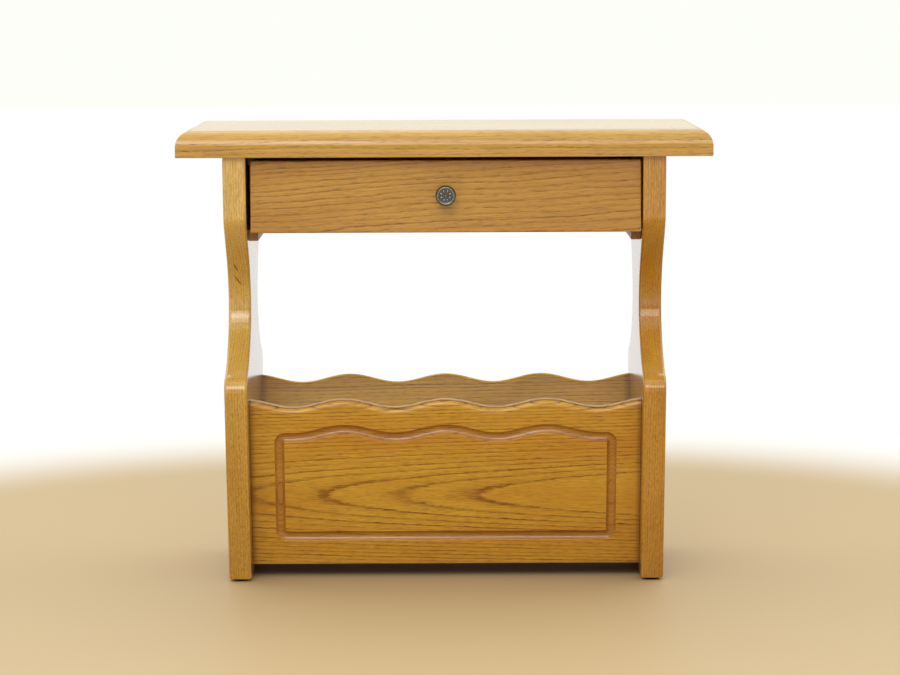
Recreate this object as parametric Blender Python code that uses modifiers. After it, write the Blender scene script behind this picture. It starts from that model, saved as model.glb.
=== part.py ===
"""Side table with a drawer above a V-shaped magazine rack.

Metres, +Z up, floor at z = 0, front of the table towards -Y.
Y = 0 is the middle of the two side panels, X = 0 the middle of the table.
"""
import math

import bmesh
import bpy

# ---- driving dimensions -------------------------------------------------------
GAP = 0.0003                  # clearance left between pieces that touch

HEIGHT = 0.500
TOP_WIDTH = 0.580
TOP_DEPTH = 0.290
TOP_THICKNESS = 0.029
TOP_ROUND = 0.0175            # quarter round along the top's upper edge
TOP_SHIFT_Y = -0.0075         # the top is flush at the back and overhangs in front

BASE_WIDTH = 0.480            # over the outside of the side panels
SIDE_THICKNESS = 0.025
SIDE_FRONT_TOP = 0.1450       # half depths, measured from Y = 0, under the top
SIDE_BACK_TOP = 0.1375
BAY = (0.1372, 0.4045)        # (half depth, height) where the side panels start to narrow
WAIST = (0.0635, 0.3020)
LEDGE = (0.1430, 0.2322)      # where the curve runs out into the shoulder
SHOULDER_Z = 0.2150           # top of the legs' straight part
FRONT_LEAN = ((0.1450, 0.4480), (0.1386, 0.4200))
BAY_TO_WAIST = ((0.1340, 0.3840), (0.0635, 0.3510))
WAIST_TO_LEDGE = ((0.0635, 0.2740), (0.1090, 0.2400))
LEDGE_TO_SHOULDER = ((0.1500, 0.2303), (0.1571, 0.2238))
FOOT_HALF_DEPTH = 0.1075
ARRIS = 0.0025                # rounding of the panels' long edges

GLIDE_RADIUS = 0.009
GLIDE_HEIGHT = 0.0027
GLIDE_INSET = 0.016           # from the foot's corner to the glide's centre

RACK_SLOPE = 0.2258           # run over rise of the legs and the rack panels
RACK_THICKNESS = 0.015
RACK_FRONT_Y = -0.1205        # front face of the front panel at RACK_REF_Z
RACK_BACK_Y = 0.1355          # back face of the back panel at RACK_REF_Z
RACK_REF_Z = 0.200
RACK_BOTTOM_Z = 0.0145
RACK_FRONT_RIM_Z = 0.1977     # mean heights of the scalloped rims
RACK_BACK_RIM_Z = 0.1967
SCALLOP_PERIOD = 0.1113
SCALLOP_HEIGHT = 0.0093       # crest to trough
GROOVE_HALF_WIDTH = 0.183     # centre line of the routed groove
GROOVE_DROP = 0.0327          # from the rim down to the groove's centre line
GROOVE_BOTTOM_RISE = 0.0338   # from the panel's bottom edge to the groove
GROOVE_CUTTER_RADIUS = 0.0056
GROOVE_DEPTH = 0.0038
GROOVE_CORNER = 0.0065
RACK_ARRIS = 0.0022
BOARD_Z = 0.030
BOARD_THICKNESS = 0.012

RAIL_THICKNESS = 0.018
RAIL_BACK_Y = 0.1335
RAIL_BOTTOM_Z = 0.3990
CLEAT_SIZE = 0.011
RUNNER_HEIGHT = 0.012
RUNNER_TOP_Z = 0.390
RUNNER_FRONT_Y = -0.108
RUNNER_BACK_Y = 0.1095
CLEAT_HEIGHT = 0.0095
CLEAT_HALF_LENGTH = 0.110
STOP_LENGTH = 0.011
STOP_HEIGHT = 0.030

DRAWER_WIDTH = 0.424
DRAWER_PLAY = 0.0014          # the drawer sits this much to the right in its bay
DRAWER_FRONT_Y = -0.1355
DRAWER_FRONT_BOTTOM_Z = 0.3884
DRAWER_FRONT_TOP_Z = 0.4670
DRAWER_FRONT_THICKNESS = 0.019
DRAWER_SIDE_THICKNESS = 0.012
DRAWER_BOX_HALF_WIDTH = 0.211
DRAWER_BACK_Y = 0.098
DRAWER_SIDE_TOP_Z = 0.460
DRAWER_FLOOR_THICKNESS = 0.005
DRAWER_FLOOR_Z = 0.398
DRAWER_GROOVE_DEPTH = 0.005

KNOB_Z = 0.4294
KNOB_RADIUS = 0.011
KNOB_REACH = 0.0199           # from the drawer's face to the knob's crown
KNOB_STEM_RADIUS = 0.0050
KNOB_BORE_DEPTH = 0.010

DOWEL_RADIUS = 0.003
DOWEL_LENGTH = 0.030
DOWEL_CHAMFER = 0.0006
DRAWER_DOWEL_LENGTH = 0.024
BACK_PIN_RADIUS = 0.0015
BACK_PIN_LENGTH = 0.018
SCREW_SHANK_RADIUS = 0.0018
SCREW_HEAD_RADIUS = 0.0036
SCREW_HEAD_HEIGHT = 0.0022
SIDE_SCREW_LENGTH = 0.027
TOP_SCREW_LENGTH = 0.025

# ---- values that follow from them ---------------------------------------------
SIDE_OUTER_X = BASE_WIDTH / 2
SIDE_INNER_X = SIDE_OUTER_X - SIDE_THICKNESS
TOP_UNDERSIDE_Z = HEIGHT - TOP_THICKNESS
SIDE_TOP_Z = TOP_UNDERSIDE_Z - GAP
FOOT_Z = GLIDE_HEIGHT + GAP
SLANT = math.atan(RACK_SLOPE)
MIRROR_SIDES = (("left", -1), ("right", 1))


# ---- scene, collections, materials ---------------------------------------------
def clear_scene():
    for old in list(bpy.data.objects):
        bpy.data.objects.remove(old, do_unlink=True)


def new_collection(name):
    collection = bpy.data.collections.new(name)
    bpy.context.scene.collection.children.link(collection)
    return collection


def new_material(name, colour, roughness, metallic=0.0):
    material = bpy.data.materials.new(name)
    material.use_nodes = True
    shader = material.node_tree.nodes["Principled BSDF"]
    shader.inputs["Base Color"].default_value = (*colour, 1.0)
    shader.inputs["Roughness"].default_value = roughness
    shader.inputs["Metallic"].default_value = metallic
    return material


clear_scene()
PARTS = new_collection("side_table_with_drawer")
CUTTERS = new_collection("cutters")

OAK_TOP = (0.62, 0.36, 0.15)
OAK_DARK = (0.38, 0.15, 0.04)
OAK_PLAIN = (0.55, 0.36, 0.18)
STEEL = (0.55, 0.55, 0.53)
PEWTER = (0.30, 0.27, 0.22)
FELT = (0.03, 0.02, 0.02)


# ---- shared modelling helpers ---------------------------------------------------
def add_object(name, mesh, parent, look):
    """look is (colour, roughness) or (colour, roughness, metallic)."""
    piece = bpy.data.objects.new(name, mesh)
    PARTS.objects.link(piece)
    piece.parent = parent
    piece.data.materials.clear()
    piece.data.materials.append(new_material(name, *look))
    return piece


def box_mesh(name, size):
    bm = bmesh.new()
    bmesh.ops.create_cube(bm, size=1.0)
    bmesh.ops.scale(bm, vec=size, verts=bm.verts)
    mesh = bpy.data.meshes.new(name)
    bm.to_mesh(mesh)
    bm.free()
    return mesh


def add_box(name, x_range, y_range, z_range, parent, look, edge=0.0):
    ranges = (x_range, y_range, z_range)
    size = [high - low for low, high in ranges]
    piece = add_object(name, box_mesh(name, size), parent, look)
    piece.location = [(low + high) / 2 for low, high in ranges]
    if edge:
        add_bevel(piece, edge)
    return piece


def add_bevel(piece, width, segments=1):
    bevel = piece.modifiers.new("rounded_edges", "BEVEL")
    bevel.width = width
    bevel.segments = segments
    bevel.limit_method = "ANGLE"
    bevel.angle_limit = math.radians(50)


def curve_to_mesh(curve_object, name):
    """The evaluated curve as a welded mesh; the curve is removed."""
    depsgraph = bpy.context.evaluated_depsgraph_get()
    mesh = bpy.data.meshes.new_from_object(curve_object.evaluated_get(depsgraph))
    mesh.name = name
    bm = bmesh.new()
    bm.from_mesh(mesh)
    bmesh.ops.remove_doubles(bm, verts=bm.verts, dist=0.00001)
    bm.to_mesh(mesh)
    bm.free()
    bpy.data.objects.remove(curve_object, do_unlink=True)
    return mesh


def temporary_curve(curve):
    guide = bpy.data.objects.new("guide", curve)
    bpy.context.scene.collection.objects.link(guide)
    bpy.context.view_layer.update()
    return guide


def outline_curve(points, thickness):
    """A closed polygon in the curve's own XY plane, filled and extruded."""
    curve = bpy.data.curves.new("outline", "CURVE")
    curve.dimensions = "2D"
    curve.fill_mode = "BOTH"
    curve.extrude = thickness / 2
    spline = curve.splines.new("POLY")
    spline.points.add(len(points) - 1)
    for point, (u, v) in zip(spline.points, points):
        point.co = (u, v, 0.0, 1.0)
    spline.use_cyclic_u = True
    return curve


def turned_object(name, profile, steps):
    """A Screw modifier round Z on an (radius, height) profile, listed top to bottom."""
    mesh = bpy.data.meshes.new(name)
    bm = bmesh.new()
    verts = [bm.verts.new((radius, 0.0, height)) for radius, height in profile]
    for upper, lower in zip(verts, verts[1:]):
        bm.edges.new((upper, lower))
    bm.to_mesh(mesh)
    bm.free()
    piece = bpy.data.objects.new(name, mesh)
    screw = piece.modifiers.new("turned", "SCREW")
    screw.steps = steps
    screw.render_steps = steps
    screw.use_merge_vertices = True
    screw.merge_threshold = 0.00005
    return piece


def add_turned(name, profile, parent, look, steps=16):
    piece = turned_object(name, profile, steps)
    PARTS.objects.link(piece)
    piece.parent = parent
    piece.data.materials.append(new_material(name, *look))
    return piece


def as_cutter(cutter, parent):
    CUTTERS.objects.link(cutter)
    cutter.parent = parent
    cutter.hide_render = True
    cutter.display_type = "WIRE"
    return cutter


def cut(piece, cutter):
    boolean = piece.modifiers.new("cut_" + cutter.name, "BOOLEAN")
    boolean.operation = "DIFFERENCE"
    boolean.solver = "EXACT"
    boolean.object = cutter


def box_cutter(name, x_range, y_range, z_range, parent):
    ranges = (x_range, y_range, z_range)
    size = [high - low for low, high in ranges]
    cutter = bpy.data.objects.new(name, box_mesh(name, size))
    cutter.location = [(low + high) / 2 for low, high in ranges]
    return as_cutter(cutter, parent)


# ---- fasteners ----------------------------------------------------------------
ALONG_X = (0.0, math.radians(90), 0.0)
AGAINST_X = (0.0, math.radians(-90), 0.0)
ALONG_Y = (math.radians(-90), 0.0, 0.0)
DOWNWARDS = (math.radians(180), 0.0, 0.0)


def pin_profile(radius, length, chamfer):
    half = length / 2
    return [
        (0.0, half),
        (radius - chamfer, half),
        (radius, half - chamfer),
        (radius, -half + chamfer),
        (radius - chamfer, -half),
        (0.0, -half),
    ]


def add_dowel(name, centre, turn, pieces, parent, radius=DOWEL_RADIUS, length=DOWEL_LENGTH):
    """A dowel lying half in each of two pieces, in a hole with clearance."""
    dowel = add_turned(
        name, pin_profile(radius, length - 2 * GAP, DOWEL_CHAMFER), parent, (OAK_PLAIN, 0.6), steps=12
    )
    dowel.location = centre
    dowel.rotation_euler = turn
    hole = turned_object("hole_" + name, pin_profile(radius + GAP, length, 0.0), 12)
    hole.location = centre
    hole.rotation_euler = turn
    as_cutter(hole, parent)
    for piece in pieces:
        cut(piece, hole)


def screw_profile(length, clearance=0.0, above=0.0):
    """Countersunk wood screw: head's flat at z = 0, point downwards."""
    head = SCREW_HEAD_RADIUS + clearance
    shank = SCREW_SHANK_RADIUS + clearance
    rim = 0.0004 + clearance
    return [
        (0.0, above),
        (head, above),
        (head, -rim),
        (shank, -SCREW_HEAD_HEIGHT - clearance),
        (shank, -length + 2 * shank),
        (0.0, -length - clearance),
    ]


def add_screw(name, head_centre, turn, length, pieces, parent):
    screw = add_turned(name, screw_profile(length), parent, (STEEL, 0.35, 1.0), steps=12)
    screw.location = head_centre
    screw.rotation_euler = turn
    hole = turned_object("hole_" + name, screw_profile(length, GAP, 0.001), 12)
    hole.location = head_centre
    hole.rotation_euler = turn
    as_cutter(hole, parent)
    for piece in pieces:
        cut(piece, hole)


# ---- table top ------------------------------------------------------------------
def make_top(parent):
    mesh = box_mesh("table_top", (TOP_WIDTH, TOP_DEPTH, TOP_THICKNESS))
    bm = bmesh.new()
    bm.from_mesh(mesh)
    upper = [e for e in bm.edges if all(v.co.z > 0 for v in e.verts)]
    bmesh.ops.bevel(
        bm, geom=upper, offset=TOP_ROUND, segments=6, profile=0.5, affect="EDGES", clamp_overlap=True
    )
    lower = [e for e in bm.edges if all(v.co.z < -TOP_THICKNESS * 0.49 for v in e.verts)]
    bmesh.ops.bevel(bm, geom=lower, offset=0.001, segments=1, profile=0.5, affect="EDGES")
    bm.to_mesh(mesh)
    bm.free()
    top = add_object("table_top", mesh, parent, (OAK_TOP, 0.25))
    top.location = (0.0, TOP_SHIFT_Y, HEIGHT - TOP_THICKNESS / 2)
    return top


# ---- side panels ----------------------------------------------------------------
def leg_half_depth(z):
    """The legs' straight, slanted edge below the shoulder."""
    return FOOT_HALF_DEPTH + RACK_SLOPE * (z - FOOT_Z)


def bezier_points(start, start_handle, end_handle, end, count):
    """Points after start up to and including end."""
    points = []
    for step in range(1, count + 1):
        t = step / count
        weights = ((1 - t) ** 3, 3 * t * (1 - t) ** 2, 3 * t * t * (1 - t), t ** 3)
        corners = (start, start_handle, end_handle, end)
        points.append(tuple(sum(w * c[axis] for w, c in zip(weights, corners)) for axis in (0, 1)))
    return points


def side_edge_outline():
    """(half depth, height) down one edge, from where the panel starts to narrow to the foot."""
    shoulder = (leg_half_depth(SHOULDER_Z), SHOULDER_Z)
    points = [BAY]
    points += bezier_points(BAY, *BAY_TO_WAIST, WAIST, 10)
    points += bezier_points(WAIST, *WAIST_TO_LEDGE, LEDGE, 9)
    points += bezier_points(LEDGE, *LEDGE_TO_SHOULDER, shoulder, 5)
    points.append((FOOT_HALF_DEPTH, FOOT_Z))
    return points


def side_outline():
    """The whole panel, back edge on the positive side; only the front edge leans forward."""
    lean_start = (SIDE_FRONT_TOP, SIDE_TOP_Z)
    lean = [lean_start] + bezier_points(lean_start, *FRONT_LEAN, BAY, 5)[:-1]
    edge = side_edge_outline()
    back = [(SIDE_BACK_TOP, SIDE_TOP_Z)] + edge
    front = lean + edge
    return back + [(-depth, height) for depth, height in reversed(front)]


def make_side_panel(side, sign, parent):
    name = "side_panel_" + side
    guide = temporary_curve(outline_curve(side_outline(), SIDE_THICKNESS))
    panel = add_object(name, curve_to_mesh(guide, name), parent, (OAK_TOP, 0.25))
    panel.rotation_euler = (math.radians(90), 0.0, math.radians(90))
    panel.location = (sign * (SIDE_INNER_X + SIDE_THICKNESS / 2), 0.0, 0.0)
    add_bevel(panel, ARRIS, 2)
    return panel


def make_glides(side, sign, parent):
    x = sign * (SIDE_INNER_X + SIDE_THICKNESS / 2)
    for place, direction in (("front", -1), ("back", 1)):
        name = "foot_glide_" + place + "_" + side
        profile = pin_profile(GLIDE_RADIUS, GLIDE_HEIGHT, 0.0003)
        glide = add_turned(name, profile, parent, (FELT, 0.8), steps=24)
        glide.location = (x, direction * (FOOT_HALF_DEPTH - GLIDE_INSET), GLIDE_HEIGHT / 2)


# ---- magazine rack ----------------------------------------------------------------
def scallop(x):
    """Height of the wavy rim above its mean, crests at x = 0 and every period."""
    return SCALLOP_HEIGHT / 2 * math.cos(2 * math.pi * x / SCALLOP_PERIOD)


def rack_rim(rim_z):
    """Mean height of a panel's rim, measured up the slope from its bottom edge."""
    return (rim_z - RACK_BOTTOM_Z) / math.cos(SLANT)


def rack_outline(rim_z):
    """The panel in its own plane."""
    half_width = SIDE_INNER_X - GAP
    mean = rack_rim(rim_z)
    steps = 48
    points = [(half_width, 0.0)]
    for step in range(steps + 1):
        x = half_width * (1 - 2 * step / steps)
        points.append((x, mean + scallop(x)))
    points.append((-half_width, 0.0))
    return points


def groove_path():
    """Closed centre line of the groove: wavy along the top, straight elsewhere."""
    mean = rack_rim(RACK_FRONT_RIM_Z) - GROOVE_DROP
    flat_from = 1.5 * SCALLOP_PERIOD
    low = GROOVE_BOTTOM_RISE
    high = mean + scallop(flat_from)
    points = []
    for step in range(37):
        x = flat_from * (step / 18 - 1)
        points.append((x, mean + scallop(x)))
    corners = (
        (GROOVE_HALF_WIDTH, high, 90),
        (GROOVE_HALF_WIDTH, low, 0),
        (-GROOVE_HALF_WIDTH, low, -90),
        (-GROOVE_HALF_WIDTH, high, -180),
    )
    for x, v, first_angle in corners:
        centre_x = x - math.copysign(GROOVE_CORNER, x)
        centre_v = v - GROOVE_CORNER if v == high else v + GROOVE_CORNER
        for turn in (0, 30, 60, 90):
            angle = math.radians(first_angle - turn)
            across = GROOVE_CORNER * math.cos(angle)
            along = GROOVE_CORNER * math.sin(angle)
            points.append((centre_x + across, centre_v + along))
    return points


def make_groove_cutter(panel):
    curve = bpy.data.curves.new("groove", "CURVE")
    curve.dimensions = "3D"
    curve.bevel_depth = GROOVE_CUTTER_RADIUS
    curve.bevel_resolution = 2
    spline = curve.splines.new("POLY")
    path = groove_path()
    spline.points.add(len(path) - 1)
    for point, (u, v) in zip(spline.points, path):
        point.co = (u, v, 0.0, 1.0)
    spline.use_cyclic_u = True
    cutter = bpy.data.objects.new("groove_cutter", curve_to_mesh(temporary_curve(curve), "groove"))
    as_cutter(cutter, panel)
    cutter.location = (0.0, 0.0, RACK_THICKNESS / 2 + GROOVE_CUTTER_RADIUS - GROOVE_DEPTH)
    return cutter


def make_rack_panel(name, sign, outer_y, rim_z, parent):
    """sign is -1 for the front panel, +1 for the back one; outer_y is its outer face."""
    guide = temporary_curve(outline_curve(rack_outline(rim_z), RACK_THICKNESS))
    panel = add_object(name, curve_to_mesh(guide, name), parent, (OAK_DARK, 0.25))
    face_at_bottom = outer_y - sign * RACK_SLOPE * (RACK_REF_Z - RACK_BOTTOM_Z)
    middle = face_at_bottom - sign * RACK_THICKNESS / 2 * math.cos(SLANT)
    lift = RACK_THICKNESS / 2 * math.sin(SLANT)
    panel.location = (0.0, middle, RACK_BOTTOM_Z + lift)
    panel.rotation_euler = (math.radians(90) - sign * SLANT, 0.0, 0.0)
    add_bevel(panel, RACK_ARRIS, 2)
    return panel


def face_y(sign, outer_y, z, depth=0.0):
    """Y of a plane parallel to a rack panel's outer face, depth inside it."""
    outer = outer_y - sign * RACK_SLOPE * (RACK_REF_Z - z)
    return outer - sign * depth / math.cos(SLANT)


def make_rack_board(parent):
    """The board magazines stand on, its long edges planed to the panels' slope."""
    low, high = BOARD_Z, BOARD_Z + BOARD_THICKNESS
    inset = RACK_THICKNESS + GAP
    outline = [
        (face_y(-1, RACK_FRONT_Y, low, inset), low),
        (face_y(1, RACK_BACK_Y, low, inset), low),
        (face_y(1, RACK_BACK_Y, high, inset), high),
        (face_y(-1, RACK_FRONT_Y, high, inset), high),
    ]
    length = 2 * (SIDE_INNER_X - GAP)
    guide = temporary_curve(outline_curve(outline, length))
    mesh = curve_to_mesh(guide, "rack_bottom_board")
    board = add_object("rack_bottom_board", mesh, parent, (OAK_DARK, 0.4))
    board.rotation_euler = (math.radians(90), 0.0, math.radians(90))
    return board


def join_rack(panels, board, sides, parent):
    """Dowels along X through each end of the panels and the board."""
    for side, sign in MIRROR_SIDES:
        x = sign * (SIDE_INNER_X - GAP / 2)
        for place, (panel, direction, outer_y) in panels.items():
            for level, z in (("lower", 0.070), ("upper", 0.155)):
                y = face_y(direction, outer_y, z, RACK_THICKNESS / 2)
                name = "rack_" + place + "_dowel_" + level + "_" + side
                add_dowel(name, (x, y, z), ALONG_X, (panel, sides[side]), parent)
        centre = (x, 0.008, BOARD_Z + BOARD_THICKNESS / 2)
        add_dowel("rack_board_dowel_" + side, centre, ALONG_X, (board, sides[side]), parent)


# ---- drawer bay: rail, runners, cleats, stops -----------------------------------------
def make_back_rail(sides, parent):
    inner = SIDE_INNER_X - GAP
    rail = add_box(
        "back_rail",
        (-inner, inner),
        (RAIL_BACK_Y - RAIL_THICKNESS, RAIL_BACK_Y),
        (RAIL_BOTTOM_Z, SIDE_TOP_Z),
        parent,
        (OAK_TOP, 0.3),
        0.001,
    )
    for side, sign in MIRROR_SIDES:
        for level, z in (("lower", 0.414), ("upper", 0.456)):
            centre = (sign * (SIDE_INNER_X - GAP / 2), RAIL_BACK_Y - RAIL_THICKNESS / 2, z)
            name = "rail_dowel_" + level + "_" + side
            add_dowel(name, centre, ALONG_X, (rail, sides[side]), parent)


def side_strip(sign):
    """X range of a strip fixed to the inside of a side panel, low value first."""
    wall = sign * (SIDE_INNER_X - GAP)
    return sorted((wall, wall - sign * CLEAT_SIZE))


def make_bay_fittings(top, sides, parent):
    for side, sign in MIRROR_SIDES:
        head_x = sign * (SIDE_INNER_X - GAP - CLEAT_SIZE)
        outwards = AGAINST_X if sign > 0 else ALONG_X
        runner = add_box(
            "drawer_runner_" + side,
            side_strip(sign),
            (RUNNER_FRONT_Y, RUNNER_BACK_Y),
            (RUNNER_TOP_Z - RUNNER_HEIGHT, RUNNER_TOP_Z),
            parent,
            (OAK_PLAIN, 0.5),
        )
        cleat = add_box(
            "top_cleat_" + side,
            side_strip(sign),
            (-CLEAT_HALF_LENGTH, CLEAT_HALF_LENGTH),
            (SIDE_TOP_Z - CLEAT_HEIGHT, SIDE_TOP_Z),
            parent,
            (OAK_PLAIN, 0.5),
        )
        add_box(
            "drawer_stop_" + side,
            side_strip(sign),
            (RUNNER_BACK_Y - STOP_LENGTH, RUNNER_BACK_Y),
            (RUNNER_TOP_Z + GAP, RUNNER_TOP_Z + STOP_HEIGHT),
            parent,
            (OAK_PLAIN, 0.5),
        )
        for place, y in (("front", -0.085), ("back", 0.085)):
            tag = "_" + place + "_" + side
            runner_head = (head_x, y, RUNNER_TOP_Z - RUNNER_HEIGHT / 2)
            add_screw("runner_screw" + tag, runner_head, outwards, SIDE_SCREW_LENGTH,
                      (runner, sides[side]), parent)
            cleat_head = (head_x, y * 0.6, SIDE_TOP_Z - CLEAT_HEIGHT / 2)
            add_screw("cleat_side_screw" + tag, cleat_head, outwards, SIDE_SCREW_LENGTH,
                      (cleat, sides[side]), parent)
            top_head = (sign * (SIDE_INNER_X - GAP - CLEAT_SIZE / 2), y, SIDE_TOP_Z - CLEAT_HEIGHT)
            add_screw("cleat_top_screw" + tag, top_head, DOWNWARDS, TOP_SCREW_LENGTH, (cleat, top), parent)


# ---- drawer ----------------------------------------------------------------------------
def make_drawer(slide):
    front_back_y = DRAWER_FRONT_Y + DRAWER_FRONT_THICKNESS
    box_bottom = RUNNER_TOP_Z + GAP
    groove_z = (DRAWER_FLOOR_Z - GAP, DRAWER_FLOOR_Z + DRAWER_FLOOR_THICKNESS + GAP)
    inner_x = DRAWER_BOX_HALF_WIDTH - DRAWER_SIDE_THICKNESS
    front = add_box(
        "drawer_front",
        (-DRAWER_WIDTH / 2, DRAWER_WIDTH / 2),
        (DRAWER_FRONT_Y, front_back_y),
        (DRAWER_FRONT_BOTTOM_Z, DRAWER_FRONT_TOP_Z),
        slide,
        (OAK_DARK, 0.25),
        0.0015,
    )
    sides = {}
    for side, sign in MIRROR_SIDES:
        sides[side] = add_box(
            "drawer_side_" + side,
            sorted((sign * inner_x, sign * DRAWER_BOX_HALF_WIDTH)),
            (front_back_y + GAP, DRAWER_BACK_Y),
            (box_bottom, DRAWER_SIDE_TOP_Z),
            slide,
            (OAK_PLAIN, 0.5),
        )
    back = add_box(
        "drawer_back",
        (-inner_x + GAP, inner_x - GAP),
        (DRAWER_BACK_Y - DRAWER_SIDE_THICKNESS - 0.002, DRAWER_BACK_Y - 0.002),
        (groove_z[1], DRAWER_SIDE_TOP_Z - 0.004),
        slide,
        (OAK_PLAIN, 0.5),
    )
    tongue = DRAWER_GROOVE_DEPTH
    groove = box_cutter(
        "drawer_floor_groove",
        (-inner_x - tongue, inner_x + tongue),
        (front_back_y - tongue, DRAWER_BACK_Y + 0.002),
        groove_z,
        slide,
    )
    for piece in (front, sides["left"], sides["right"]):
        cut(piece, groove)
    add_box(
        "drawer_bottom",
        (-inner_x - tongue + GAP, inner_x + tongue - GAP),
        (front_back_y - tongue + GAP, DRAWER_BACK_Y - 0.001),
        (DRAWER_FLOOR_Z, DRAWER_FLOOR_Z + DRAWER_FLOOR_THICKNESS),
        slide,
        (OAK_PLAIN, 0.6),
    )
    join_drawer(front, sides, back, slide)
    return front


def join_drawer(front, sides, back, slide):
    joint_y = DRAWER_FRONT_Y + DRAWER_FRONT_THICKNESS + GAP / 2
    side_x = DRAWER_BOX_HALF_WIDTH - DRAWER_SIDE_THICKNESS / 2
    back_y = DRAWER_BACK_Y - 0.002 - DRAWER_SIDE_THICKNESS / 2
    joint_x = DRAWER_BOX_HALF_WIDTH - DRAWER_SIDE_THICKNESS + GAP / 2
    for side, sign in MIRROR_SIDES:
        for level, z in (("lower", 0.413), ("upper", 0.448)):
            tag = "_" + level + "_" + side
            front_joint = (sign * side_x, joint_y, z)
            add_dowel("drawer_front_dowel" + tag, front_joint, ALONG_Y, (front, sides[side]), slide,
                      length=DRAWER_DOWEL_LENGTH)
            back_joint = (sign * joint_x, back_y, z)
            add_dowel("drawer_back_pin" + tag, back_joint, ALONG_X, (back, sides[side]), slide,
                      BACK_PIN_RADIUS, BACK_PIN_LENGTH)


def knob_profile():
    """Radius and distance from the drawer's face, crown first."""
    reach = KNOB_REACH
    return [
        (0.0, reach),
        (KNOB_RADIUS * 0.45, reach - 0.0004),
        (KNOB_RADIUS * 0.80, reach - 0.0016),
        (KNOB_RADIUS * 0.95, reach - 0.0030),
        (KNOB_RADIUS, reach - 0.0048),
        (KNOB_RADIUS * 0.95, reach - 0.0066),
        (KNOB_RADIUS * 0.72, reach - 0.0086),
        (KNOB_STEM_RADIUS, reach - 0.0120),
        (KNOB_STEM_RADIUS * 0.95, 0.0060),
        (KNOB_STEM_RADIUS * 1.15, 0.0030),
        (KNOB_STEM_RADIUS * 1.50, 0.0016),
        (KNOB_STEM_RADIUS * 1.50, GAP),
        (0.0, GAP),
    ]


def make_knob(front, slide):
    """A turned knob held by a machine screw from inside the drawer."""
    knob = add_turned("drawer_knob", knob_profile(), slide, (PEWTER, 0.4, 1.0), steps=32)
    knob.location = (0.0, DRAWER_FRONT_Y, KNOB_Z)
    knob.rotation_euler = (math.radians(90), 0.0, 0.0)
    radius = 0.002
    head_y = DRAWER_FRONT_Y + DRAWER_FRONT_THICKNESS + GAP
    shank = DRAWER_FRONT_THICKNESS + KNOB_BORE_DEPTH - 0.001

    def profile(clearance, head_above):
        return [
            (0.0, head_above),
            (0.0042, head_above),
            (0.0042, 0.0),
            (radius + clearance, 0.0),
            (radius + clearance, -shank - 2 * clearance),
            (0.0, -shank - 2 * clearance),
        ]

    screw = add_turned("knob_screw", profile(0.0, 0.0022), slide, (STEEL, 0.35, 1.0), steps=12)
    hole = as_cutter(turned_object("hole_knob_screw", profile(GAP, 0.004), 12), slide)
    for item in (screw, hole):
        item.location = (0.0, head_y, KNOB_Z)
        item.rotation_euler = ALONG_Y
    cut(knob, hole)
    cut(front, hole)


# ---- assembly ---------------------------------------------------------------------------
def build():
    table = bpy.data.objects.new("table_frame", None)
    PARTS.objects.link(table)
    slide = bpy.data.objects.new("drawer_slide", None)
    PARTS.objects.link(slide)
    slide.parent = table
    slide.location.x = DRAWER_PLAY

    top = make_top(table)
    sides = {}
    for side, sign in MIRROR_SIDES:
        sides[side] = make_side_panel(side, sign, table)
        make_glides(side, sign, table)
    front_panel = make_rack_panel("rack_front_panel", -1, RACK_FRONT_Y, RACK_FRONT_RIM_Z, table)
    back_panel = make_rack_panel("rack_back_panel", 1, RACK_BACK_Y, RACK_BACK_RIM_Z, table)
    board = make_rack_board(table)
    panels = {"front": (front_panel, -1, RACK_FRONT_Y), "back": (back_panel, 1, RACK_BACK_Y)}
    join_rack(panels, board, sides, table)
    cut(front_panel, make_groove_cutter(front_panel))
    make_back_rail(sides, table)
    make_bay_fittings(top, sides, table)
    drawer_front = make_drawer(slide)
    make_knob(drawer_front, slide)


build()
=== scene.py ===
import math

import bmesh
import bpy
from mathutils import Matrix, Vector


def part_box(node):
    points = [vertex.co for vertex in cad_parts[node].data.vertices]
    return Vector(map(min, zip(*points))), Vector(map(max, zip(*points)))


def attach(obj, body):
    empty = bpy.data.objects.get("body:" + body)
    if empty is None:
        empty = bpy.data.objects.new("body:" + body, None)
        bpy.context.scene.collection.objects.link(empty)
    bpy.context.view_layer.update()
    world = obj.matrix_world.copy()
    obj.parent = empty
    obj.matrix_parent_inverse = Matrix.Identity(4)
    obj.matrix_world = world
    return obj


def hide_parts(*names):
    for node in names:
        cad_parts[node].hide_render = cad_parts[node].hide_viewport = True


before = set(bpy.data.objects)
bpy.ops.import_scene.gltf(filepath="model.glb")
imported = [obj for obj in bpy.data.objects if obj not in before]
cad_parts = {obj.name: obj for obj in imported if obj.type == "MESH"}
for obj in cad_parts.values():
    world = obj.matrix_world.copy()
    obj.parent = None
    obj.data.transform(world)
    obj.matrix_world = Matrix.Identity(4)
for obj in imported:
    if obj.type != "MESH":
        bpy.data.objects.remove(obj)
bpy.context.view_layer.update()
bpy.ops.object.select_all(action="DESELECT")
print("frame loaded:", len(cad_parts), "parts")

mm = 0.001          # lengths below are in metres unless a name says mm
rackSlope = 0.2258  # run over rise of the rack's panels and of the legs below their shoulders

# camera: a long lens a little above the table top
cameraView = {"aside": 0.0054, "distance": 3.6955, "height": 0.6584, "pitch": 6.164, "roll": -0.24,
              "lens": 131.6}


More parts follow.
